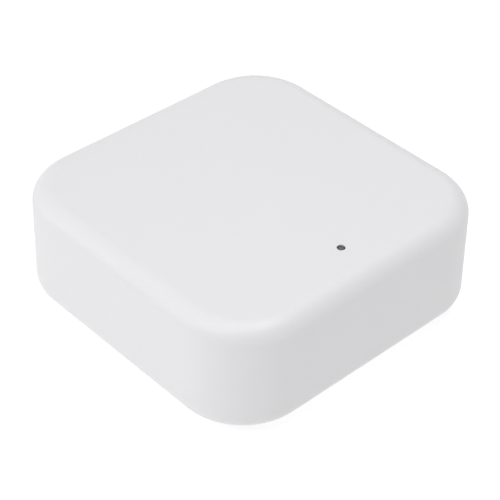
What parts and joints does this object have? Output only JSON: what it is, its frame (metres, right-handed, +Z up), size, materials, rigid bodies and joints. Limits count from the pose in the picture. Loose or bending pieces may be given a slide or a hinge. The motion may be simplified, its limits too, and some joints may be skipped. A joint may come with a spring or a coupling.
{
  "type": "smart home hub",
  "caption": "Low rounded-square desktop hub with soft edges, a pinpoint status light in its top, a power socket and reset button in its rear wall, and rubber feet.",
  "frame": {"origin": "middle of the square that the four feet stand in, on the surface they stand on", "axes": "+Z up; -Y is the front edge, which the status light is near; +Y is the rear wall with the power socket and the reset button; +X is to the right seen from the front"},
  "size_m": [0.07, 0.07, 0.026],
  "materials": {
    "case_plastic": "fine matte moulded plastic",
    "foot_rubber": "soft matte",
    "adhesive_film": "double-sided adhesive film",
    "label_paper": "satin polyester label",
    "light_pipe_smoked": "smoked polycarbonate, polished",
    "button_plastic": "fine matte moulded plastic",
    "zinc_steel": "bright zinc plate",
    "socket_steel": "nickel-plated drawn steel",
    "can_steel": "tin-plated drawn steel",
    "dome_steel": "polished spring steel",
    "black_moulding": "glass-filled moulding",
    "chip_epoxy": "moulded epoxy",
    "solder_mask_green": "green solder mask over glass laminate",
    "solder_mask_black": "black solder mask over glass laminate",
    "gold_plate": "gold flash over nickel",
    "tin_plate": "matte tin",
    "aluminium_can": "drawn aluminium",
    "ferrite": "pressed ferrite",
    "capacitor_ceramic": "sintered ceramic",
    "resistor_glaze": "glazed",
    "led_white": "white reflector moulding",
    "led_lens": "clear epoxy over phosphor"
  },
  "bodies": {
    "hub": {"blank_label": "label_paper", "board_screws": "zinc_steel", "bottom_cover": "case_plastic", "bulk_capacitor_bases": "black_moulding", "bulk_capacitor_cans": "aluminium_can", "capacitor_bodies": "capacitor_ceramic", "capacitor_ends": "tin_plate", "case_screws": "zinc_steel", "crystal": "tin_plate", "flash_memory_chip": "chip_epoxy", "flash_memory_leads": "tin_plate", "foot_adhesive_pads": "adhesive_film", "light_pipe": "light_pipe_smoked", "main_circuit_board": "solder_mask_green", "mesh_radio_antenna": "gold_plate", "mesh_radio_board": "solder_mask_black", "mesh_radio_chip": "chip_epoxy", "mesh_radio_shield_can": "can_steel", "network_radio_antenna": "gold_plate", "network_radio_board": "solder_mask_black", "network_radio_chip": "chip_epoxy", "network_radio_shield_can": "can_steel", "power_coil": "ferrite", "power_socket_contacts": "gold_plate", "power_socket_shell": "socket_steel", "power_socket_tongue": "black_moulding", "reset_switch_cover": "tin_plate", "reset_switch_dome": "dome_steel", "reset_switch_housing": "black_moulding", "reset_switch_terminals": "tin_plate", "resistor_bodies": "resistor_glaze", "resistor_ends": "tin_plate", "rubber_foot_front_left": "foot_rubber", "rubber_foot_front_right": "foot_rubber", "rubber_foot_rear_left": "foot_rubber", "rubber_foot_rear_right": "foot_rubber", "status_led": "led_white", "status_led_lens": "led_lens", "status_led_terminals": "tin_plate", "surge_diode": "chip_epoxy", "surge_diode_tails": "tin_plate", "top_cover": "case_plastic", "voltage_regulator": "chip_epoxy", "voltage_regulator_leads": "tin_plate"},
    "button": {"reset_button": "button_plastic", "reset_switch_stem": "black_moulding"}
  },
  "joints": [
    {"name": "reset_press", "type": "slide", "parent": "hub", "child": "button", "axis": [0, -1, 0], "range_m": [0, 0.0003], "stiffness_N_per_m": 6400, "deforming": ["reset_switch_dome"]}
  ]
}
